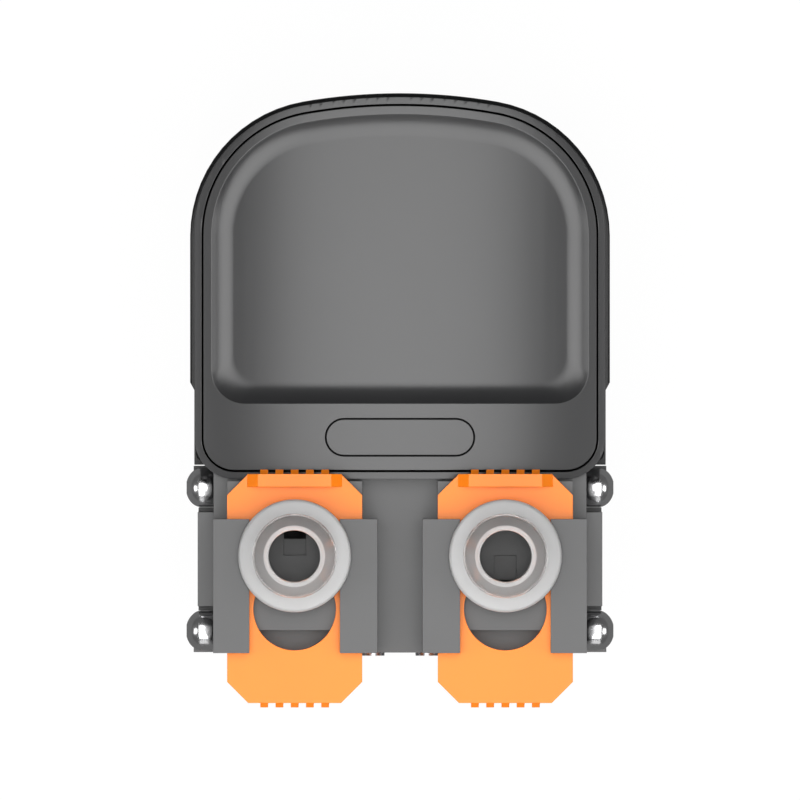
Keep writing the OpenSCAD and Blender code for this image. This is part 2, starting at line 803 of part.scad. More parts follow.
module head_cover() {
    difference() {
        union() {
            head_block(cover_in_x, cover_seat_x);
            block([cover_seat_x - eps, -cover_panel_half_y, head_low_z + 4],
                [cover_seat_x + cover_panel_t, cover_panel_half_y, head_top_z - 3]);
            block([cover_seat_x - eps, -panel_foot_half_y, head_low_z + 5],
                [cover_seat_x + cover_panel_t - 0.1, panel_foot_half_y, axis_z + 5]);
        }
        for (sy = [-1, 1]) {
            bar_x(cover_in_x - 1, passage_x1, 5, sy * valve_y);
            bar_x(cover_in_x - 1, cover_in_x + seal_t, seal_r, sy * (valve_y + seal_shift));
            block([passage_x0, sy * valve_y - passage_w / 2, axis_z],
                [passage_x1, sy * valve_y + passage_w / 2, head_top_z + 1]);
        }
        head_screw_places() bar_x(0, 40, head_screw_r + 0.1, fn = small_fn);
        bar_z(0, 60, plate_screw_r + 0.15, plate_screw_x, 0, small_fn);
    }
}

module right_head_cover() {
    color("#5f6062") from_head() head_cover();
}

module left_head_cover() {
    color("#5f6062") from_head() mirror([1, 0, 0]) head_cover();
}

// A screw along X with a domed head and a hexagonal socket
module head_screw() {
    dome_h = 2.6;
    rim_h = head_screw_head_h - dome_h;
    dome = [for (i = [0:8]) [head_screw_head_r * cos(i * 10), rim_h + dome_h * sin(i * 10)]];
    shank_end = case_half_x - screw_depth + 0.5 - cover_seat_x;
    profile = concat([[0, shank_end], [head_screw_r, shank_end], [head_screw_r, 0],
        [head_screw_head_r, 0]], dome, [[0, head_screw_head_h]]);
    translate([cover_seat_x, 0, axis_z]) rotate([0, 90, 0]) difference() {
        rotate_extrude() polygon(profile);
        translate([0, 0, head_screw_head_h - 2]) cylinder(r = 1.45, h = 3, $fn = 6);
    }
}

module right_head_screws() {
    color("#d9d9dc") from_head() head_screw_places() head_screw();
}

module left_head_screws() {
    color("#d9d9dc") from_head() mirror([1, 0, 0]) head_screw_places() head_screw();
}

module motor_can() {
    front_y = head_half_y;
    color("#8d9094") from_head() difference() {
        union() {
            bar_y(front_y, can_rear_y, can_r, fn = 96);
            bar_y(front_y - boss_len, front_y + eps, boss_r - 0.05);
        }
        bar_y(front_y + can_t, can_rear_y + 1, can_r - can_t, fn = 96);
        bar_y(front_y - boss_len - 1, front_y + 2, shaft_r + 1);
        bar_y(front_y - boss_len + 0.8, front_y + can_t + 1, bearing_r);
        motor_screw_places() bar_y(front_y - 1, front_y + can_t + 1, 1.5, fn = small_fn);
    }
}

module motor_end_cap() {
    front_y = can_rear_y;
    color("#2f3134") from_head() difference() {
        union() {
            bar_y(front_y, front_y + cap_t, can_r, fn = 96);
            bar_y(front_y - cap_spigot, front_y + eps, can_r - can_t, fn = 96);
            bar_y(front_y + cap_t - eps, front_y + cap_t + 2, boss_r);
        }
        bar_y(front_y - cap_spigot - 1, front_y + 1.5, can_r - can_t - 2, fn = 96);
        bar_y(front_y, front_y + cap_t + 1, bearing_r);
        bar_y(front_y, front_y + cap_t + 3, shaft_r + 0.4);
        both_sides() block([tab_x[0] - eps * 3, front_y, axis_z - tab_half_z - 0.1],
            [tab_x[1] + 0.1, front_y + cap_t + 1, axis_z + tab_half_z + 0.1]);
    }
}

module motor_magnets() {
    color("#3a3a3e") from_head() difference() {
        bar_y(magnet_y[0], magnet_y[1], can_r - can_t, fn = 96);
        bar_y(magnet_y[0] - 1, magnet_y[1] + 1, can_r - can_t - magnet_t, fn = 96);
        block([-7, magnet_y[0] - 1, 0], [7, magnet_y[1] + 1, 70]);
    }
}

module motor_shaft() {
    front_y = -rod_y - rod_bearing_w / 2 - 1;
    color("#d0d2d5") from_head()
        bar_y(front_y, can_rear_y + cap_t + 1, shaft_r, fn = small_fn);
}

module armature_core() {
    color("#6c6e72") from_head() difference() {
        bar_y(core_y[0], core_y[1], armature_r, fn = 96);
        bar_y(core_y[0] - 1, core_y[1] + 1, shaft_r, fn = small_fn);
        for (i = [0:armature_slots - 1]) translate([0, 0, axis_z])
            rotate([0, i * 360 / armature_slots, 0]) {
                block([armature_r - 1.4, core_y[0] - 1, -0.9], [armature_r + 1, core_y[1] + 1, 0.9]);
                block([7.5, core_y[0] - 1, -1.9], [armature_r - 1.3, core_y[1] + 1, 1.9]);
            }
    }
}

// The windings fill the slots and bulge out at both ends of the core
module armature_windings() {
    color("#b4622a") from_head() {
        difference() {
            union() {
                bar_y(core_y[0] - winding_t, core_y[0], armature_r - 1.8);
                bar_y(core_y[1], core_y[1] + winding_t, armature_r - 1.8);
                for (i = [0:armature_slots - 1]) translate([0, 0, axis_z])
                    rotate([0, i * 360 / armature_slots, 0])
                        block([7.7, core_y[0] - eps, -1.8],
                            [armature_r - 2, core_y[1] + eps, 1.8]);
            }
            bar_y(core_y[0] - winding_t - 1, core_y[0] + eps, 4.5);
            bar_y(core_y[1] - eps, core_y[1] + winding_t + 1, 4.5);
        }
    }
}

module commutator() {
    color("#c98a4b") from_head() difference() {
        bar_y(commutator_y[0], commutator_y[1], commutator_r);
        bar_y(commutator_y[0] - 1, commutator_y[1] + 1, shaft_r, fn = small_fn);
        for (i = [0:armature_slots - 1]) translate([0, 0, axis_z])
            rotate([0, (i + 0.5) * 360 / armature_slots, 0])
                block([commutator_r - 0.8, commutator_y[0] - 1, -0.2],
                    [commutator_r + 1, commutator_y[1] - 1, 0.2]);
    }
}

module ring_bearing(y0, y1, r_in, r_out) {
    difference() {
        bar_y(y0, y1, r_out);
        bar_y(y0 - 1, y1 + 1, r_in);
    }
}

module front_motor_bearing() {
    y0 = head_half_y - boss_len + 0.8;
    color("#b9bbbf") from_head()
        ring_bearing(y0, y0 + bearing_w - 0.4, shaft_r + running_gap, bearing_r);
}

module rear_motor_bearing() {
    color("#a5813f") from_head()
        ring_bearing(can_rear_y + 1.5, can_rear_y + cap_t + 1, shaft_r + running_gap, bearing_r);
}

module motor_brushes() {
    color("#2b2b2b") from_head() both_sides() difference() {
        block([commutator_r - 1, brush_y, axis_z - brush_half_z],
            [spring_x, brush_y + brush_len, axis_z + brush_half_z]);
        bar_y(brush_y - 1, brush_y + brush_len + 1, commutator_r + running_gap);
    }
}

// Each terminal is a tab through the end cap on a spring arm that holds a brush
module motor_terminals() {
    color("#c9a24a") from_head() both_sides() {
        block([spring_x, brush_y, axis_z - brush_half_z],
            [tab_x[0], brush_y + brush_len, axis_z + brush_half_z]);
        block([tab_x[0] - eps, brush_y, axis_z - tab_half_z],
            [tab_x[1], can_rear_y + cap_t + tab_out, axis_z + tab_half_z]);
    }
}

module motor_screws() {
    color("#c9c9cc") from_head() motor_screw_places() {
        bar_y(case_bore_rear_y - 1.8, case_bore_rear_y, 2.6, fn = small_fn);
        bar_y(case_bore_rear_y - eps, head_half_y + can_t + 1, 1.5, fn = small_fn);
    }
}

module eccentric() {
    front_y = -rod_y - rod_bearing_w / 2 - 0.4;
    color("#9a9ca0") from_head() difference() {
        union() {
            bar_y(front_y, hub_y + eps, eccentric_r, throw_r);
            bar_y(hub_y, hub_y + hub_t, hub_r);
        }
        bar_y(front_y - 1, hub_y + hub_t + 1, shaft_r, fn = small_fn);
        translate([0, hub_y + hub_t / 2, axis_z]) cylinder(r = 0.8, h = 9, $fn = small_fn);
    }
}

module balance_weight() {
    color("#a8843c") from_head() difference() {
        bar_y(hub_y, hub_y + hub_t, weight_r);
        bar_y(hub_y - 1, hub_y + hub_t + 1, hub_r);
        block([-2, hub_y - 1, 0], [20, hub_y + hub_t + 1, 60]);
    }
}

module crank_set_screw() {
    color("#3a3a3e") from_head()
        translate([0, hub_y + hub_t / 2, axis_z + shaft_r])
            cylinder(r = 0.8, h = hub_r - shaft_r - 0.2, $fn = small_fn);
}

module rod_bearing(side) {
    y0 = side * rod_y - rod_bearing_w / 2;
    translate([throw_r, 0, 0])
        ring_bearing(y0, y0 + rod_bearing_w, eccentric_r + running_gap, rod_bearing_r);
}

module left_rod_bearing() {
    color("#b9bbbf") from_head() rod_bearing(-1);
}

module right_rod_bearing() {
    color("#b9bbbf") from_head() rod_bearing(1);
}

// A rod: a ring round its bearing, an arm and the disc behind the diaphragm
module connecting_rod(side) {
    y0 = side * rod_y - rod_bearing_w / 2;
    disc_end_x = web_x - web_t / 2;
    translate([throw_r, 0, 0]) difference() {
        union() {
            bar_y(y0, y0 + rod_bearing_w, rod_ring_r);
            translate([side > 0 ? 0 : -rod_disc_x, y0, axis_z - 4])
                cube([rod_disc_x, rod_bearing_w, 8]);
            mirror([side > 0 ? 0 : 1, 0, 0]) bar_x(rod_disc_x - eps, disc_end_x, rod_disc_r);
        }
        bar_y(y0 - 1, y0 + rod_bearing_w + 1, rod_bearing_r);
        mirror([side > 0 ? 0 : 1, 0, 0]) bar_x(rod_ring_r - 0.4, disc_end_x + 1, 1.2, fn = small_fn);
    }
}

module left_rod() {
    color("#c4c6c8") from_head() connecting_rod(-1);
}

module right_rod() {
    color("#c4c6c8") from_head() connecting_rod(1);
}

module clamp_disc() {
    x0 = web_x + web_t / 2;
    difference() {
        bar_x(x0, x0 + clamp_t, rod_disc_r);
        bar_x(x0 - 1, x0 + clamp_t + 1, 1.2, fn = small_fn);
    }
}

module right_clamp_disc() {
    color("#d0d2d5") from_head() translate([throw_r, 0, 0]) clamp_disc();
}

module left_clamp_disc() {
    color("#d0d2d5") from_head() translate([throw_r, 0, 0]) mirror([1, 0, 0]) clamp_disc();
}

module clamp_screw() {
    x1 = web_x + web_t / 2 + clamp_t;
    bar_x(rod_ring_r + 0.2, x1 + eps, 1.2, fn = small_fn);
    bar_x(x1, x1 + 0.9, 2.2, fn = small_fn);
}

module right_clamp_screw() {
    color("#9a9ca0") from_head() translate([throw_r, 0, 0]) clamp_screw();
}

module left_clamp_screw() {
    color("#9a9ca0") from_head() translate([throw_r, 0, 0]) mirror([1, 0, 0]) clamp_screw();
}

// A bar along X, from x on, with a profile in Y and Z
module bar_of(profile, x, length) {
    translate([x, 0, 0]) rotate([90, 0, 90]) linear_extrude(length) polygon(profile);
}

// A clip: a chamfered plate with a release hole, a locking slot, ribs and a thumb ledge
module clip() {
    c = clip_chamfer;
    w = clip_half_x;
    r = clip_rear_y;
    f = -clip_front_y;
    rib_w = 1.4;
    rib_h = 0.8;
    ledge_half = 8.5;
    ledge_w = 2.3;
    ledge_slope = 1.9;
    rib_profile = [[f + 1, clip_z], [f - rib_h, clip_z], [f - rib_h, clip_z + 1.2],
        [f, clip_top_z - 0.2], [f + 1, clip_top_z - 0.2]];
    far_profile = [[r - 1, clip_z], [r - 1, clip_top_z - 0.2], [r, clip_top_z - 0.2],
        [r + rib_h, clip_z + 1.2], [r + rib_h, clip_z]];
    difference() {
        union() {
            translate([0, 0, clip_z]) linear_extrude(clip_t)
                polygon([[-w + c, f], [w - c, f], [w, f + c], [w, r - c], [w - c, r],
                    [c - w, r], [-w, r - c], [-w, f + c]]);
            for (i = [0:rib_count - 1]) {
                x = (i - (rib_count - 1) / 2) * rib_pitch;
                bar_of(rib_profile, x - rib_w / 2, rib_w);
                bar_of(far_profile, x - rib_w / 2, rib_w);
            }
            translate([0, r, 0]) rotate([90, 0, 0]) linear_extrude(ledge_w)
                polygon([[-ledge_half, clip_z], [ledge_half, clip_z], [ledge_half, clip_top_z + 0.1],
                    [ledge_half - ledge_slope, clip_top_z + 2], [ledge_slope - ledge_half, clip_top_z + 2],
                    [-ledge_half, clip_top_z + 0.1]]);
        }
        translate([0, -clip_travel, 0]) bar_z(clip_z - 1, clip_top_z + 1, release_r);
        bar_z(clip_z - 1, clip_top_z + 1, slot_half);
        block([-slot_half, -clip_travel, clip_z - 1], [slot_half, 0, clip_top_z + 1]);
    }
}

module right_clip() {
    color("#ff9a52") from_head() at_port() clip();
}

module left_clip() {
    color("#ff9a52") from_head() mirror([1, 0, 0]) at_port() clip();
}

// A fitting turned about its axis: spigot with two seal grooves, locking groove, flange, barb
module fitting() {
    g = o_ring_r + 0.2;
    b = fitting_bore_r;
    seal_r = o_ring_centre_r - o_ring_r;
    spigot = [for (z = o_ring_z) each [[stem_r, z - g], [seal_r, z - g], [seal_r, z + g],
        [stem_r, z + g]]];
    teeth = [for (i = [0:barb_count - 1]) let (z = barb_z + i * barb_pitch)
        each [[barb_root_r, z], [barb_r, z], [barb_r, z + barb_land]]];
    profile = concat([[b, spigot_end_z], [stem_r - 0.4, spigot_end_z],
        [stem_r, spigot_end_z + 0.6]], spigot,
        [[stem_r, clip_z - 0.1], [groove_r, clip_z - 0.1], [groove_r, clip_top_z + 0.1],
        [stem_r, clip_top_z + 0.1], [stem_r, flange_z], [flange_r - 0.3, flange_z],
        [flange_r, flange_z + 0.3], [flange_r, flange_top_z - 0.4],
        [flange_r - 0.4, flange_top_z], [barb_root_r, flange_top_z]],
        teeth, [[barb_tip_r, barb_top_z], [b, barb_top_z]]);
    rotate_extrude($fn = 96) polygon(profile);
}

module right_fitting() {
    color("#dcdcdc") from_head() at_port() fitting();
}

module left_fitting() {
    color("#dcdcdc") from_head() mirror([1, 0, 0]) at_port() fitting();
}

module fitting_seals() {
    for (z = o_ring_z) translate([0, 0, z])
        rotate_extrude($fn = 96) translate([o_ring_centre_r, 0]) circle(r = o_ring_r, $fn = 24);
}

module right_fitting_seals() {
    color("#202022") from_head() at_port() fitting_seals();
}

module left_fitting_seals() {
    color("#202022") from_head() mirror([1, 0, 0]) at_port() fitting_seals();
}

rubber_feet();
mount_bushes();
base_tray();
housing_screws();
housing_seal();
hood_shell();
hood_lid();
cable_grommet();
crankcase();
crankcase_screws();
front_cover();
front_cover_screws();
rear_plate();
port_gasket();
port_plate();
port_plate_screws();
left_diaphragm();
right_diaphragm();
left_valve_plate();
right_valve_plate();
inlet_valves();
outlet_valves();
left_head_cover();
right_head_cover();
head_seals();
left_head_screws();
right_head_screws();
motor_can();
motor_end_cap();
motor_magnets();
motor_shaft();
armature_core();
armature_windings();
commutator();
front_motor_bearing();
rear_motor_bearing();
motor_brushes();
motor_terminals();
motor_screws();
eccentric();
balance_weight();
crank_set_screw();
left_rod_bearing();
right_rod_bearing();
left_rod();
right_rod();
left_clamp_disc();
right_clamp_disc();
left_clamp_screw();
right_clamp_screw();
left_clip();
right_clip();
left_fitting();
right_fitting();
left_fitting_seals();
right_fitting_seals();
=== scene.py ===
import json
import math

import bmesh
import bpy
from mathutils import Matrix, Vector

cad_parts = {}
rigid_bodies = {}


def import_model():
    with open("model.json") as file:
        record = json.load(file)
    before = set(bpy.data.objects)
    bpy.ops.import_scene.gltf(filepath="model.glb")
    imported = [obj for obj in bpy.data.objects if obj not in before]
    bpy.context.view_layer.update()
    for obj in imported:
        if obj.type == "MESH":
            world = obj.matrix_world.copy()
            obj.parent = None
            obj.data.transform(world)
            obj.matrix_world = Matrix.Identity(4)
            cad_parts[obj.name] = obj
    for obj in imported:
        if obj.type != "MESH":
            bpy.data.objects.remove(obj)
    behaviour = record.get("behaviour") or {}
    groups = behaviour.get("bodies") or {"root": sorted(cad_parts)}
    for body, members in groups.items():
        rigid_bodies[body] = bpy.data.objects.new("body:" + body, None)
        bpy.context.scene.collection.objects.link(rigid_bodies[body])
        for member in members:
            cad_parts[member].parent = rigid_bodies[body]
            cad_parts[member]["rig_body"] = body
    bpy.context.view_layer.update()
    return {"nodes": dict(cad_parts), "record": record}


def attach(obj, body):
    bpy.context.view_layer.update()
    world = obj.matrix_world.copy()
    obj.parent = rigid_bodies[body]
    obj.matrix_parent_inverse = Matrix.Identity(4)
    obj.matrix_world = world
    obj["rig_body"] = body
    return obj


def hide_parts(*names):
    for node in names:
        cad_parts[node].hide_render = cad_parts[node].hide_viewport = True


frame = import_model()
slotOfNode = {part["node"]: part["material_slot"] for part in frame["record"]["subparts"]}

# Lengths below are millimetres from the middle of the head; the frame's origin lies behind it
headToOrigin = Vector((0, -32, 0))
millimetre = 0.001
sameCorner = 0.002          # corners closer than this are one


# Noise scales are to the metre and relief depths in metres
surfaceForm = {
    "fineScale": 1000 / 0.35,
    "broadScale": 60,
    "metalScale": 900,
    "cloudScale": 120,
    "colourBand": (0.3, 0.7),       # noise values between which the colour changes
    "plasticDepth": 0.00002,
    "metalDepth": 0.00001,
    "plasticSpread": 0.04,          # of the roughness, up and down
    "clearSpread": 0.03,
    "metalSpread": (0.8, 1.25),     # of the roughness, as factors
    "clearIndex": 1.49,
    "clearRelief": 0.05,
    "clearChange": 0.02,
}


def newMaterial(name):
    material = bpy.data.materials.new(name)
    material.use_nodes = True
    tree = material.node_tree
    shader = tree.nodes["Principled BSDF"]
    return material, tree, shader


def grain(tree, scale, detail, stretch=(1, 1, 1)):
    place = tree.nodes.new("ShaderNodeTexCoord")
    mapping = tree.nodes.new("ShaderNodeMapping")
    mapping.inputs["Scale"].default_value = stretch
    noise = tree.nodes.new("ShaderNodeTexNoise")
    noise.inputs["Scale"].default_value = scale
    noise.inputs["Detail"].default_value = detail
    tree.links.new(place.outputs["Object"], mapping.inputs["Vector"])
    tree.links.new(mapping.outputs["Vector"], noise.inputs["Vector"])
    return noise


def spread(tree, source, low, high, target):
    ranged = tree.nodes.new("ShaderNodeMapRange")
    ranged.inputs["To Min"].default_value = low
    ranged.inputs["To Max"].default_value = high
    tree.links.new(source.outputs["Fac"], ranged.inputs["Value"])
    tree.links.new(ranged.outputs["Result"], target)


def shade(tree, shader, source, colour, change):
    ramp = tree.nodes.new("ShaderNodeValToRGB")
    for stop, position, factor in zip(ramp.color_ramp.elements, surfaceForm["colourBand"],
                                      (1 - change, 1 + change)):
        stop.position = position
        stop.color = [min(1, c * factor) for c in colour] + [1]
    tree.links.new(source.outputs["Fac"], ramp.inputs["Fac"])
    tree.links.new(ramp.outputs["Color"], shader.inputs["Base Color"])


def roughen(tree, shader, source, strength, depth):
    bump = tree.nodes.new("ShaderNodeBump")
    bump.inputs["Strength"].default_value = strength
    bump.inputs["Distance"].default_value = depth
    tree.links.new(source.outputs["Fac"], bump.inputs["Height"])
    tree.links.new(bump.outputs["Normal"], shader.inputs["Normal"])


def plastic(name, colour, gloss, relief=0.25, change=0.06, specular=0.5):
    f, around = surfaceForm, surfaceForm["plasticSpread"]
    material, tree, shader = newMaterial(name)
    shader.inputs["Specular IOR Level"].default_value = specular
    fine = grain(tree, f["fineScale"], 2)
    broad = grain(tree, f["broadScale"], 3)
    shade(tree, shader, broad, colour, change)
    spread(tree, fine, gloss - around, gloss + around, shader.inputs["Roughness"])
    roughen(tree, shader, fine, relief, f["plasticDepth"])
    return material


def metal(name, colour, gloss, stretch=(1, 1, 1), relief=0.1, change=0.04):
    f, (low, high) = surfaceForm, surfaceForm["metalSpread"]
    material, tree, shader = newMaterial(name)
    shader.inputs["Metallic"].default_value = 1
    lines = grain(tree, f["metalScale"], 3, stretch)
    shade(tree, shader, lines, colour, change)
    spread(tree, lines, gloss * low, gloss * high, shader.inputs["Roughness"])
    roughen(tree, shader, lines, relief, f["metalDepth"])
    return material


def clearPlastic(name, colour, gloss, clear):
    f, around = surfaceForm, surfaceForm["clearSpread"]
    material, tree, shader = newMaterial(name)
    shader.inputs["Transmission Weight"].default_value = clear
    shader.inputs["IOR"].default_value = f["clearIndex"]
    cloud = grain(tree, f["cloudScale"], 2)
    shade(tree, shader, cloud, colour, f["clearChange"])
    spread(tree, cloud, gloss - around, gloss + around, shader.inputs["Roughness"])
    roughen(tree, shader, cloud, f["clearRelief"], f["plasticDepth"])
    return material


# Colours are linear; the number after them is the roughness
finishes = {
    "tray_plastic": plastic("mouldedTrayNylon", (0.013, 0.013, 0.014), 0.3,
                            relief=0.1, specular=0.42),
    "hood_plastic": plastic("satinHoodPlastic", (0.018, 0.018, 0.019), 0.31,
                            relief=0.03, specular=0.68),
    "lid_plastic": plastic("satinLidPlastic", (0.021, 0.021, 0.022), 0.31,
                           relief=0.03, specular=0.76),
    "head_plastic": plastic("glassFilledHeadNylon", (0.085, 0.085, 0.086), 0.34,
                            relief=0.15, specular=0.6),
    "port_plastic": plastic("glassFilledPortNylon", (0.045, 0.045, 0.046), 0.32,
                            relief=0.15, specular=0.62),
    "clip_plastic": plastic("orangeAcetal", (0.98, 0.235, 0.008), 0.3,
                            relief=0.05, change=0.02, specular=0.38),
    "fitting_plastic": clearPlastic("naturalPolypropylene", (0.90, 0.88, 0.87), 0.16, 0.7),
    "valve_plastic": plastic("naturalNylon", (0.72, 0.72, 0.66), 0.4, relief=0.1, change=0.02),
    "rubber": plastic("mouldedRubber", (0.022, 0.022, 0.024), 0.7, relief=0.4, specular=0.3),
    "valve_rubber": plastic("orangeSilicone", (0.60, 0.13, 0.04), 0.55,
                            relief=0.1, specular=0.3),
    "stainless": metal("polishedStainless", (0.86, 0.86, 0.87), 0.2),
    "zinc_steel": metal("zincPlate", (0.62, 0.63, 0.66), 0.28),
    "brass": metal("turnedBrass", (0.72, 0.50, 0.22), 0.25, stretch=(1, 1, 8)),
    "aluminium": metal("machinedAluminium", (0.72, 0.73, 0.74), 0.35, stretch=(8, 1, 1)),
    "can_steel": metal("drawnSteel", (0.48, 0.49, 0.51), 0.3, stretch=(1, 6, 1)),
    "core_steel": metal("stackedSteel", (0.30, 0.30, 0.32), 0.45,
                        stretch=(0.2, 12, 0.2), relief=0.4),
    "magnet": plastic("sinteredFerrite", (0.035, 0.035, 0.038), 0.6, relief=0.4),
    "copper": metal("enamelledCopper", (0.62, 0.25, 0.10), 0.3, stretch=(1, 0.2, 1)),
    "cap_plastic": plastic("blackNylon", (0.025, 0.025, 0.027), 0.5),
    "carbon": plastic("pressedCarbon", (0.020, 0.020, 0.020), 0.65, relief=0.3),
    "milky": clearPlastic("milkyPolypropylene", (0.49, 0.49, 0.49), 0.3, 0.1),
    # painted shadow: near-black and matte, put on the floors of narrow gaps where only shade falls
    "seat": plastic("paintedGapShadow", (0.004, 0.004, 0.004), 0.9, specular=0.05),
}
print("materials", len(finishes))


# A rounded edge in three rings: how far in and how far down, as shares of its radius
roundShares = ((1, 0), (0.3, 0.3), (0, 1))


def objectFrom(bm, name):
    mesh = bpy.data.meshes.new(name)
    bm.to_mesh(mesh)
    bm.free()
    made = bpy.data.objects.new(name, mesh)
    bpy.context.scene.collection.objects.link(made)
    return made


def toFrame(bm):
    bmesh.ops.translate(bm, verts=bm.verts, vec=headToOrigin)
    bmesh.ops.scale(bm, verts=bm.verts, vec=Vector((millimetre,) * 3))


def smoothUpTo(bm, sharpFrom):
    for face in bm.faces:
        face.smooth = True
    for edge in bm.edges:
        edge.smooth = edge.is_manifold and edge.calc_face_angle(0) < math.radians(sharpFrom)


def finishPiece(name, bm, slot, body, nodes, sharpFrom):
    bmesh.ops.remove_doubles(bm, verts=bm.verts, dist=sameCorner)
    bmesh.ops.dissolve_degenerate(bm, edges=bm.edges, dist=sameCorner)
    bmesh.ops.recalc_face_normals(bm, faces=bm.faces)
    toFrame(bm)
    smoothUpTo(bm, sharpFrom)
    openEdges = sum(1 for e in bm.edges if not e.is_manifold)
    piece = objectFrom(bm, name)
    piece.data.materials.append(finishes[slot])
    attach(piece, body)
    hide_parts(*nodes)
    print("piece", name, len(piece.data.polygons), "faces", openEdges, "open edges")
    return piece


def drawTo(bm, pen, x, y):
    new = bmesh.ops.extrude_vert_indiv(bm, verts=[pen])["verts"][0]
    new.co = (x, y, pen.co.z)
    return new


def drawArc(bm, pen, x, y, degrees, steps):
    made = bmesh.ops.spin(bm, geom=[pen], cent=(x, y, pen.co.z), axis=(0, 0, 1),
                          angle=math.radians(degrees), steps=steps, use_duplicate=False)
    return next(g for g in made["geom_last"] if isinstance(g, bmesh.types.BMVert))


def mirrored(bm, old):
    half = [e for e in bm.edges if e not in old]
    corners = list({v for e in half for v in e.verts})
    bmesh.ops.mirror(bm, geom=corners + half, matrix=Matrix.Identity(4), merge_dist=0.01, axis="X")
    return [e for e in bm.edges if e not in old]


# One outline for tray, hood and lid: a straight front, round corners and a bowed rear
housingForm = {
    "halfWidth": 37.95,
    "rearY": 84.2,
    "rearCurveRadius": 102.1,
    "rearCornerRadius": 24.6,
    "frontCornerSteps": 10,
    "rearCornerSteps": 28,
    "rearCurveSteps": 20,
}


def housingLoop(bm, inset, frontY, frontRadius, z):
    form = housingForm
    halfWidth = form["halfWidth"] - inset
    rearY = form["rearY"] - inset
    curve = form["rearCurveRadius"] - inset
    corner = form["rearCornerRadius"] - inset
    cornerX = halfWidth - corner
    curveY = rearY - curve
    cornerY = curveY + math.sqrt((curve - corner) ** 2 - cornerX ** 2)
    turn = math.degrees(math.asin(cornerX / (curve - corner)))
    old = set(bm.edges)
    pen = bm.verts.new((0, frontY, z))
    frontX = halfWidth - frontRadius
    pen = drawTo(bm, pen, frontX, frontY)
    pen = drawArc(bm, pen, frontX, frontY + frontRadius, 90, form["frontCornerSteps"])
    pen = drawTo(bm, pen, halfWidth, cornerY)
    pen = drawArc(bm, pen, cornerX, cornerY, 90 - turn, form["rearCornerSteps"])
    pen = drawArc(bm, pen, 0, curveY, turn, form["rearCurveSteps"])
    return mirrored(bm, old)


def joinLoops(bm, loops):
    for first, second in zip(loops, loops[1:]):
        bmesh.ops.bridge_loops(bm, edges=first + second)


def fillLoop(bm, edges):
    bmesh.ops.contextual_create(bm, geom=edges)


def addTube(bm, outer, inner, z0, z1, x, y, steps=32):
    rings = []
    for radius, z in ((outer, z0), (outer, z1), (inner, z1), (inner, z0)):
        made = bmesh.ops.create_circle(bm, cap_ends=False, radius=radius, segments=steps)["verts"]
        bmesh.ops.translate(bm, verts=made, vec=(x, y, z))
        rings.append(list({e for v in made for e in v.link_edges}))
    joinLoops(bm, rings + [rings[0]])


def turned(bm, profile, steps=96):
    pen = bm.verts.new((profile[0][0], 0, profile[0][1]))
    made = [pen]
    for radius, z in profile[1:]:
        pen = bmesh.ops.extrude_vert_indiv(bm, verts=[pen])["verts"][0]
        pen.co = (radius, 0, z)
        made.append(pen)
    edges = list({e for v in made for e in v.link_edges})
    bmesh.ops.spin(bm, geom=made + edges, cent=(0, 0, 0), axis=(0, 0, 1),
                   angle=math.tau, steps=steps, use_merge=True, use_duplicate=False)


crownForm = {
    "z": 61.5,
    "drop": 5.8,            # from the middle to the hood's sides
    "halfWidth": 37.0,
    "pitch": 2.0,
}


def crownDrop(x):
    half, drop = crownForm["halfWidth"], crownForm["drop"]
    radius = (half ** 2 + drop ** 2) / (2 * drop)
    return radius - math.sqrt(radius ** 2 - x ** 2)


def bendToCrown(bm, aboveZ):
    pitch = crownForm["pitch"]
    count = int(crownForm["halfWidth"] / pitch)
    for step in range(-count, count + 1):
        bmesh.ops.bisect_plane(bm, geom=bm.verts[:] + bm.edges[:] + bm.faces[:], dist=0.0005,
                               plane_co=(step * pitch, 0, 0), plane_no=(1, 0, 0))
    for vert in bm.verts:
        if vert.co.z > aboveZ:
            vert.co.z -= crownDrop(vert.co.x)


# The floor of a narrow gap, at height z before the crown bent it, gets the seat finish:
# near-black, painted shadow for the shade inside the gap
def paintGapShadow(piece, z, beforeY):
    piece.data.materials.append(finishes["seat"])
    for face in piece.data.polygons:
        middle = face.center / millimetre - headToOrigin
        level = abs(middle.z + crownDrop(middle.x) - z) < 0.05 and face.normal.z > 0.9
        if level and middle.y < beforeY:
            face.material_index = 1


def evenShading(piece):
    even = piece.modifiers.new("evenShading", "WEIGHTED_NORMAL")
    even.mode = "FACE_AREA"
    even.keep_sharp = True


copyForm = {
    "flatWithin": 0.6,      # degrees: faces this level are one
    "sharpFrom": 34,
    "roundFrom": 40,
}


# The share of the rim's width that an edge takes: none in front or inside, more towards the rear
def rimShare(edge, rim):
    if not edge.is_convex or any(abs(v.co.z / millimetre - rim["z"]) >= 0.02 for v in edge.verts):
        return 0
    middle = (edge.verts[0].co + edge.verts[1].co) / 2
    outwards = (middle - Vector((0, rim["insideY"] * millimetre, 0))).xy
    walls = [face.normal.xy for face in edge.link_faces if abs(face.normal.z) < 0.5]
    if middle.y <= 0 or any(wall.dot(outwards) <= 0 for wall in walls):
        return 0
    return min(1, max(rim["sideShare"], middle.y / millimetre / rim["fullFromY"]))


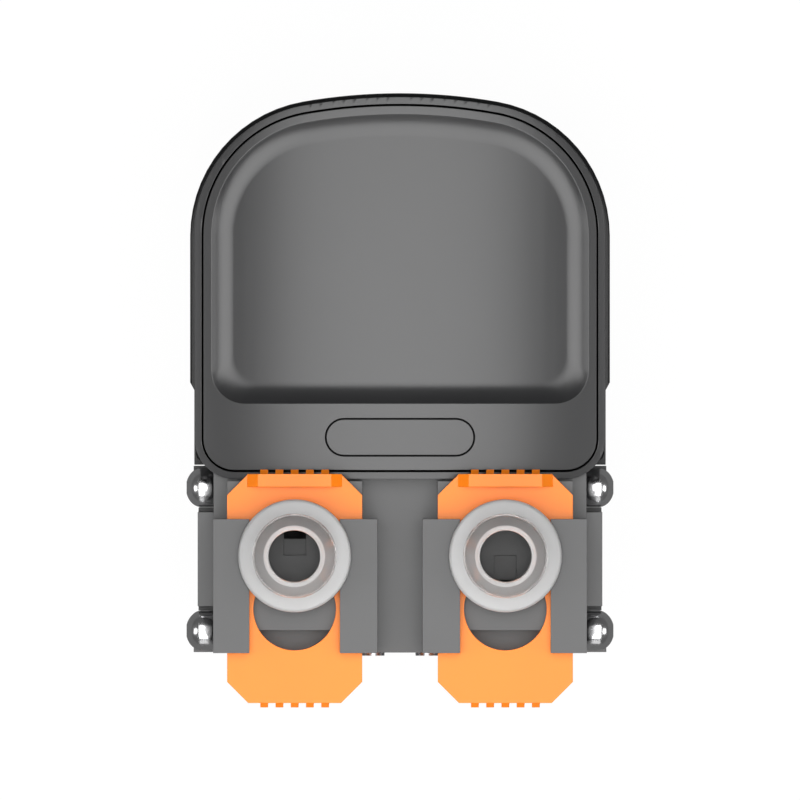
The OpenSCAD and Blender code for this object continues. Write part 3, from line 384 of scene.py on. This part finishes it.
def cadCopy(name, node, bevel, segments=2, finish=None, rim=None):
    source = frame["nodes"][node]
    bm = bmesh.new()
    bm.from_mesh(source.data)
    bmesh.ops.remove_doubles(bm, verts=bm.verts, dist=sameCorner * millimetre)
    bmesh.ops.dissolve_limit(bm, angle_limit=math.radians(copyForm["flatWithin"]),
                             verts=bm.verts, edges=bm.edges)
    smoothUpTo(bm, copyForm["sharpFrom"])
    weight = bm.edges.layers.float.new("bevel_weight_edge")
    full = rim["width"] if rim else bevel
    for edge in bm.edges:
        if edge.is_manifold and edge.calc_face_angle(0) > math.radians(copyForm["roundFrom"]):
            share = rimShare(edge, rim) if rim else 0
            edge[weight] = (bevel + (full - bevel) * share) / full
    piece = objectFrom(bm, name)
    slot = slotOfNode[node]
    piece.data.materials.append(finishes[finish or slot])
    rounded = piece.modifiers.new("roundedEdges", "BEVEL")
    rounded.width = full * millimetre
    rounded.segments = segments
    rounded.limit_method = "WEIGHT"
    rounded.use_clamp_overlap = rim is None
    evenShading(piece)
    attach(piece, source["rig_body"])
    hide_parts(node)
    print("piece", name, len(piece.data.polygons), "faces")


lidForm = {
    "inset": 2.55,          # from the tray's outline
    "frontY": 16.1,
    "frontRadius": 5.6,
    "thickness": 1.95,
    "edgeRound": 0.09,
    "dishInset": 4.05,
    "dishFrontY": 28.1,
    "dishRadius": 5.9,
    "dishSlope": 4.1,
    "dishDepth": 1.7,
    "dishSteps": 12,
    "dishEdge": 0.12,       # rounding where deck and dish meet
    "dishEdgeStep": (0.3, 0.12),    # its middle ring: in and down, as shares of it
    "underInset": 0.4,
    "underStep": 1.0,
    "floorRadius": 4.6,
    "grooveY": 22.0,
    "grooveHalfLength": 13.55,
    "grooveHalfWidth": 3.5,
    "grooveWidth": 0.36,
    "grooveDepth": 0.35,
    "grooveFloor": (0.25, 0.7),     # where it is flat, as shares of its width
}


def stadiumLoop(bm, halfLength, halfWidth, y, z, steps=16):
    old = set(bm.edges)
    pen = bm.verts.new((0, y - halfWidth, z))
    pen = drawTo(bm, pen, halfLength - halfWidth, y - halfWidth)
    pen = drawArc(bm, pen, halfLength - halfWidth, y, 180, steps)
    pen = drawTo(bm, pen, 0, y + halfWidth)
    return mirrored(bm, old)


def buildLid():
    f = lidForm
    bm = bmesh.new()
    top = crownForm["z"]

    def lidRing(inset, down):
        radius = f["frontRadius"] - inset
        return housingLoop(bm, f["inset"] + inset, f["frontY"] + inset, radius, top - down)

    def dishRing(inset, radius, down):
        frontY = f["dishFrontY"] + inset
        return housingLoop(bm, f["dishInset"] + inset, frontY, radius, top - down)

    corner, soft = f["edgeRound"], f["dishEdge"]
    rim, middle, outer = (lidRing(corner * inset, corner * down) for inset, down in roundShares)
    edge = dishRing(-soft, f["dishRadius"] + soft, 0)
    width, sunk = f["grooveWidth"], f["grooveDepth"]
    grooves = [stadiumLoop(bm, f["grooveHalfLength"] - inset, f["grooveHalfWidth"] - inset,
                           f["grooveY"], top - down)
               for inset, down in ((0, 0), (width * f["grooveFloor"][0], sunk),
                                   (width * f["grooveFloor"][1], sunk), (width, 0))]
    bmesh.ops.triangle_fill(bm, use_beauty=True, use_dissolve=True,
                            edges=rim + edge + grooves[0], normal=(0, 0, 1))
    joinLoops(bm, grooves)
    fillLoop(bm, grooves[-1])
    side = lidRing(0, f["thickness"])
    joinLoops(bm, [rim, middle, outer, side])
    slope, depth, r0, r1 = f["dishSlope"], f["dishDepth"], f["dishRadius"], f["floorRadius"]
    edgeIn, edgeDown = soft * f["dishEdgeStep"][0], soft * f["dishEdgeStep"][1]
    rings = [edge, dishRing(-edgeIn, r0 + edgeIn, edgeDown), dishRing(0, r0, edgeIn)]
    for step in range(1, f["dishSteps"] + 1):
        part = step / f["dishSteps"]
        down = edgeIn + (depth - edgeIn) * (1 - (1 - part) ** 2)    # steep first, then level
        rings.append(dishRing(slope * part, r0 + (r1 - r0) * part, down))
    joinLoops(bm, rings)
    fillLoop(bm, rings[-1])
    under = [side, dishRing(f["underInset"], r0, f["thickness"]),
             dishRing(slope - f["underStep"], r1, f["thickness"] + depth)]
    joinLoops(bm, under)
    fillLoop(bm, under[-1])
    bmesh.ops.remove_doubles(bm, verts=bm.verts, dist=sameCorner)
    bendToCrown(bm, 0)
    piece = finishPiece("hoodLid", bm, "lid_plastic", "housing", ["hood_lid"], sharpFrom=25)
    # the groove's floor gets painted shadow
    paintGapShadow(piece, top - sunk, f["grooveY"] + f["grooveHalfWidth"])
    evenShading(piece)


hoodForm = {
    "inset": 0.95,
    "frontY": 17.2,
    "lipFrontY": 14.5,
    "frontRadius": 7.2,
    "bottomZ": 32.0,
    "lipZ": 54.6,
    "lipStep": 0.04,
    "rimWidth": 1.25,
    "wall": 2.2,
    "seatDepth": 2.05,
    "ledge": 3.3,
    "ledgeFrontY": 22.2,
    "ledgeThickness": 1.4,
    "ledgeRadius": 4.2,
    "lipBelowSeat": 0.1,
    "edgeRound": 0.09,
    "motorHoleRadius": 22.4,
    "motorHoleY": 18.0,
    "motorHoleLength": 8.0,
    "axisZ": 33.0,
    "postX": 31.5,
    "postY": (24.0, 47.0),
    "postRadius": 3.8,
    "postHole": 1.5,
    "postTopZ": 50.0,
}


def motorHole(piece):
    bm = bmesh.new()
    bmesh.ops.create_cone(bm, cap_ends=True, segments=96, radius1=hoodForm["motorHoleRadius"],
                          radius2=hoodForm["motorHoleRadius"], depth=hoodForm["motorHoleLength"])
    bmesh.ops.rotate(bm, verts=bm.verts, cent=(0, 0, 0),
                     matrix=Matrix.Rotation(math.radians(90), 3, "X"))
    bmesh.ops.translate(bm, verts=bm.verts, vec=(0, hoodForm["motorHoleY"], hoodForm["axisZ"]))
    toFrame(bm)
    cutter = objectFrom(bm, "motorHoleCutter")
    cut = piece.modifiers.new("motorHole", "BOOLEAN")
    cut.operation = "DIFFERENCE"
    cut.solver = "EXACT"
    cut.object = cutter
    bpy.context.view_layer.update()
    cutPiece = piece.evaluated_get(bpy.context.evaluated_depsgraph_get())
    made = bpy.data.meshes.new_from_object(cutPiece)
    piece.modifiers.clear()
    piece.data = made
    bpy.data.objects.remove(cutter)
    print("motor hole in", piece.name, len(made.polygons), "faces")


def buildHood():
    f = hoodForm
    bm = bmesh.new()
    top, r = crownForm["z"], f["edgeRound"]
    seat = top - f["seatDepth"]

    def ring(inset, frontY, z, radius=None):
        radius = f["frontRadius"] - inset if radius is None else radius
        return housingLoop(bm, f["inset"] + inset, frontY, radius, z)

    lip, rim = f["lipFrontY"], f["rimWidth"]
    rings = [
        ring(0, f["frontY"], f["bottomZ"]),
        ring(0, f["frontY"], f["lipZ"]),
        ring(-f["lipStep"], lip, f["lipZ"]),
        *(ring(r * inset, lip + r * inset, top - r * down) for inset, down in roundShares[::-1]),
        *(ring(rim - r * inset, lip + rim - r * inset, top - r * down)
          for inset, down in roundShares),
        ring(rim, lip + rim, seat),
        ring(f["ledge"], f["ledgeFrontY"], seat, f["ledgeRadius"]),
        ring(f["ledge"], f["ledgeFrontY"], seat - f["ledgeThickness"], f["ledgeRadius"]),
        ring(f["wall"], f["frontY"] + f["wall"], seat - f["ledgeThickness"]),
        ring(f["wall"], f["frontY"] + f["wall"], f["bottomZ"]),
    ]
    joinLoops(bm, rings + [rings[0]])
    bendToCrown(bm, f["lipZ"] + 0.01)
    for vert in bm.verts:       # at the sides the lip's underside goes down with the crown
        if abs(vert.co.z - f["lipZ"]) < 0.005:
            vert.co.z = min(f["lipZ"], seat - f["lipBelowSeat"] - crownDrop(vert.co.x))
    for x in (-f["postX"], f["postX"]):
        for y in f["postY"]:
            addTube(bm, f["postRadius"], f["postHole"], f["bottomZ"], f["postTopZ"], x, y)
    piece = finishPiece("hoodShell", bm, "hood_plastic", "housing", ["hood_shell"], sharpFrom=25)
    motorHole(piece)
    # the seat under the lid's edge gets painted shadow, seen through the shut line
    paintGapShadow(piece, seat, housingForm["rearY"])
    evenShading(piece)


# The tray's upper rim is rounded wider towards the rear; y counts from the frame's origin here
trayRimForm = {
    "z": 32,
    "width": 0.8,
    "sideShare": 0.6,
    "fullFromY": 46,
    "insideY": 10,
}

buildLid()
buildHood()
cadCopy("baseTray", "base_tray", 0.12, 3, rim=trayRimForm)
print("housing built")


fittingForm = {
    "portX": 18.95,
    "portY": 0.7,
    "bore": 4.65,
    "spigot": 6.95,
    "spigotEnd": 53.0,
    "lockZ": (62.1, 64.8),
    "lockRadius": 5.5,
    "flangeZ": (67.5, 70.0),
    "flangeRadius": 10.15,
    "rootRadius": 6.4,
    "barbRadius": 7.55,
    "barbZ": (72.0, 77.2, 82.4),
    "barbLand": 0.8,
    "tipRadius": 5.65,
    "tipZ": 88.0,
}


def buildFitting(side, sign):
    f = fittingForm
    z0, z1 = f["flangeZ"]
    rf = f["flangeRadius"]      # the small offsets below round its edges
    profile = [(f["bore"] + 0.25, f["spigotEnd"]), (f["spigot"] - 0.5, f["spigotEnd"]),
               (f["spigot"] - 0.1, f["spigotEnd"] + 0.35), (f["spigot"], f["spigotEnd"] + 0.8),
               (f["spigot"], f["lockZ"][0]), (f["lockRadius"], f["lockZ"][0]),
               (f["lockRadius"], f["lockZ"][1]), (f["spigot"], f["lockZ"][1]), (f["spigot"], z0),
               (f["barbRadius"] + 0.05, z0),
               (rf - 0.35, z0), (rf - 0.1, z0 + 0.1), (rf, z0 + 0.35), (rf, z1 - 0.6),
               (rf - 0.18, z1 - 0.18), (rf - 0.6, z1), (f["barbRadius"] + 0.05, z1),
               (f["rootRadius"] + 0.25, z1 + 0.2), (f["rootRadius"], z1 + 0.7)]
    for z in f["barbZ"]:
        profile += [(f["rootRadius"], z - 0.05), (f["barbRadius"] - 0.12, z),
                    (f["barbRadius"], z + 0.12), (f["barbRadius"], z + f["barbLand"]),
                    (f["barbRadius"] - 0.08, z + f["barbLand"] + 0.18)]
    profile += [(f["tipRadius"] + 0.1, f["tipZ"] - 0.3), (f["tipRadius"] - 0.15, f["tipZ"]),
                (f["bore"] + 0.2, f["tipZ"]), (f["bore"], f["tipZ"] - 0.2),
                (f["bore"], f["spigotEnd"] + 0.25)]
    bm = bmesh.new()
    turned(bm, profile + profile[:1])
    bmesh.ops.translate(bm, verts=bm.verts, vec=(sign * f["portX"], f["portY"], 0))
    name = side + "_fitting"
    piece = finishPiece(side + "HoseFitting", bm, "fitting_plastic", name, [name], sharpFrom=50)
    piece.data.materials.append(finishes["milky"])
    for face in piece.data.polygons:
        middle = face.center / millimetre - headToOrigin
        away = math.hypot(middle.x - sign * f["portX"], middle.y - f["portY"])
        if z0 - 0.1 < middle.z < z1 + 0.1 and away > f["barbRadius"] + 0.1:
            face.material_index = 1


headScrewForm = {
    "seatX": 33.0,
    "offset": 12.9,
    "axisZ": 33.0,
    "shank": 2.0,
    "shankEnd": -24.5,
    "headRadius": 3.5,
    "headHeight": 5.5,
    "domeHeight": 2.6,
    "domeAngle": 72,        # degrees of the quarter round that the dome keeps
    "domeSteps": 10,
    "shankEdge": 0.4,
    "headEdge": 0.2,
}


def buildHeadScrews(side, sign):
    f = headScrewForm
    rim = f["headHeight"] - f["domeHeight"]
    profile = [(0, f["shankEnd"]), (f["shank"] - f["shankEdge"], f["shankEnd"]),
               (f["shank"], f["shankEnd"] + 0.5), (f["shank"], 0),
               (f["headRadius"] - f["headEdge"], 0), (f["headRadius"], f["headEdge"])]
    full, steps = math.radians(f["domeAngle"]), f["domeSteps"]
    for step in range(steps + 1):
        angle = full * step / steps
        up = f["domeHeight"] * math.sin(angle) / math.sin(full)
        profile.append((f["headRadius"] * math.cos(angle), rim + up))
    profile += [(0, f["headHeight"])]
    bm = bmesh.new()
    for y in (-f["offset"], f["offset"]):
        for z in (-f["offset"], f["offset"]):
            before = set(bm.verts)
            turned(bm, profile, 64)
            made = [v for v in bm.verts if v not in before]
            bmesh.ops.rotate(bm, verts=made, cent=(0, 0, 0),
                             matrix=Matrix.Rotation(math.radians(90), 3, "Y"))
            bmesh.ops.translate(bm, verts=made, vec=(f["seatX"], y, z + f["axisZ"]))
    if sign < 0:
        bmesh.ops.scale(bm, verts=bm.verts, vec=(-1, 1, 1))
    name = side + "_head_screws"
    finishPiece(side + "HeadScrews", bm, "stainless", "housing", [name], sharpFrom=50)


for side, sign in (("left", -1), ("right", 1)):
    buildFitting(side, sign)
    buildHeadScrews(side, sign)
    cadCopy(side + "SlideClip", side + "_clip", 0.16)
    cadCopy(side + "HeadCover", side + "_head_cover", 0.2)
cadCopy("portPlate", "port_plate", 0.16)
cadCopy("frontCover", "front_cover", 0.12, finish="head_plastic")
cadCopy("crankcaseBlock", "crankcase", 0.2)
print("head built")

for node, piece in frame["nodes"].items():
    if not piece.hide_render:
        piece.data.materials.clear()
        piece.data.materials.append(finishes[slotOfNode[node]])
        for polygon in piece.data.polygons:
            polygon.material_index = 0
print("plain nodes finished")


# Metres, in the frame
studio = {
    "floorSize": 6.0,
    "floorGrey": 0.8,
    "floorRoughness": 0.9,
    "floorGlow": 1.03,
    "floorGlowShare": 0.94,
    "floorInGloss": 0.15,
    "overhead": {"size": (0.255, 0.435), "radiance": 3.4, "place": (0, -0.1125, 0.31),
                 "aimed": False},
    "side": {"size": (0.55, 0.6), "radiance": 2.7, "place": (1.0, -0.1, 0.84), "aimed": True},
    "front": {"size": (0.45, 0.45), "radiance": 0.7, "place": (0, -0.95, 0.35), "aimed": True},
    "target": (0, 0, 0.04),
    "worldLight": 0.1,
    "lens": 1500,           # in mm: from so far away there is hardly any perspective
    "sensor": 36,
    "frameWidth": 0.144,
    "focusZ": 0.060,
    "centreY": -0.00329,
}


def seenAsWhite(tree):
    path = tree.nodes.new("ShaderNodeLightPath")
    either = tree.nodes.new("ShaderNodeMath")
    either.operation = "MAXIMUM"
    tree.links.new(path.outputs["Is Camera Ray"], either.inputs[0])
    tree.links.new(path.outputs["Is Transmission Ray"], either.inputs[1])
    return either.outputs[0], path.outputs["Is Glossy Ray"]


def buildFloor():
    bm = bmesh.new()
    bmesh.ops.create_grid(bm, x_segments=1, y_segments=1, size=studio["floorSize"] / 2)
    floor = objectFrom(bm, "studioFloor")
    material, tree, shader = newMaterial("palePaper")
    shader.inputs["Roughness"].default_value = studio["floorRoughness"]
    shader.inputs["Base Color"].default_value = (studio["floorGrey"],) * 3 + (1,)
    white, gloss = seenAsWhite(tree)
    glow = tree.nodes.new("ShaderNodeEmission")
    glow.inputs["Strength"].default_value = studio["floorGlow"]
    weight = tree.nodes.new("ShaderNodeMath")
    weight.operation = "MULTIPLY"
    weight.inputs[1].default_value = studio["floorGlowShare"]
    mix = tree.nodes.new("ShaderNodeMixShader")
    tree.links.new(white, weight.inputs[0])
    tree.links.new(weight.outputs[0], mix.inputs["Fac"])
    tree.links.new(shader.outputs["BSDF"], mix.inputs[1])
    tree.links.new(glow.outputs["Emission"], mix.inputs[2])
    dim = tree.nodes.new("ShaderNodeEmission")
    dim.inputs["Strength"].default_value = studio["floorInGloss"]
    shown = tree.nodes.new("ShaderNodeMixShader")
    tree.links.new(gloss, shown.inputs["Fac"])
    tree.links.new(mix.outputs["Shader"], shown.inputs[1])
    tree.links.new(dim.outputs["Emission"], shown.inputs[2])
    tree.links.new(shown.outputs["Shader"], tree.nodes["Material Output"].inputs["Surface"])
    floor.data.materials.append(material)


def buildWorld():
    world = bpy.data.worlds.new("studioWorld")
    bpy.context.scene.world = world
    world.use_nodes = True
    tree = world.node_tree
    back = tree.nodes["Background"]
    back.inputs["Color"].default_value = (1, 1, 1, 1)
    lit = tree.nodes.new("ShaderNodeMapRange")
    lit.inputs["To Min"].default_value = studio["worldLight"]
    lit.inputs["To Max"].default_value = 1
    path = tree.nodes.new("ShaderNodeLightPath")
    tree.links.new(path.outputs["Is Camera Ray"], lit.inputs["Value"])
    tree.links.new(lit.outputs["Result"], back.inputs["Strength"])


def addLamp(name, form, flip=1):
    data = bpy.data.lights.new(name, "AREA")
    data.shape = "RECTANGLE"
    data.size, data.size_y = form["size"]
    data.energy = form["radiance"] * math.pi * data.size * data.size_y
    lamp = bpy.data.objects.new(name, data)
    place = Vector(form["place"])
    place.x *= flip
    lamp.location = place
    if form["aimed"]:
        lamp.rotation_mode = "QUATERNION"
        lamp.rotation_quaternion = (Vector(studio["target"]) - place).to_track_quat("-Z", "Y")
    bpy.context.scene.collection.objects.link(lamp)


buildFloor()
buildWorld()
addLamp("overheadSoftbox", studio["overhead"])
addLamp("leftSoftbox", studio["side"], -1)
addLamp("rightSoftbox", studio["side"])
addLamp("frontSoftbox", studio["front"])

cameraData = bpy.data.cameras.new("photoCamera")
cameraData.lens = studio["lens"]
cameraData.sensor_width = studio["sensor"]
cameraData.clip_end = 30
camera = bpy.data.objects.new("photoCamera", cameraData)
away = studio["frameWidth"] * studio["lens"] / studio["sensor"]
camera.location = (0, studio["centreY"], studio["focusZ"] + away)
bpy.context.scene.collection.objects.link(camera)
bpy.context.scene.camera = camera
bpy.context.scene.view_settings.view_transform = "Standard"
print("studio built")
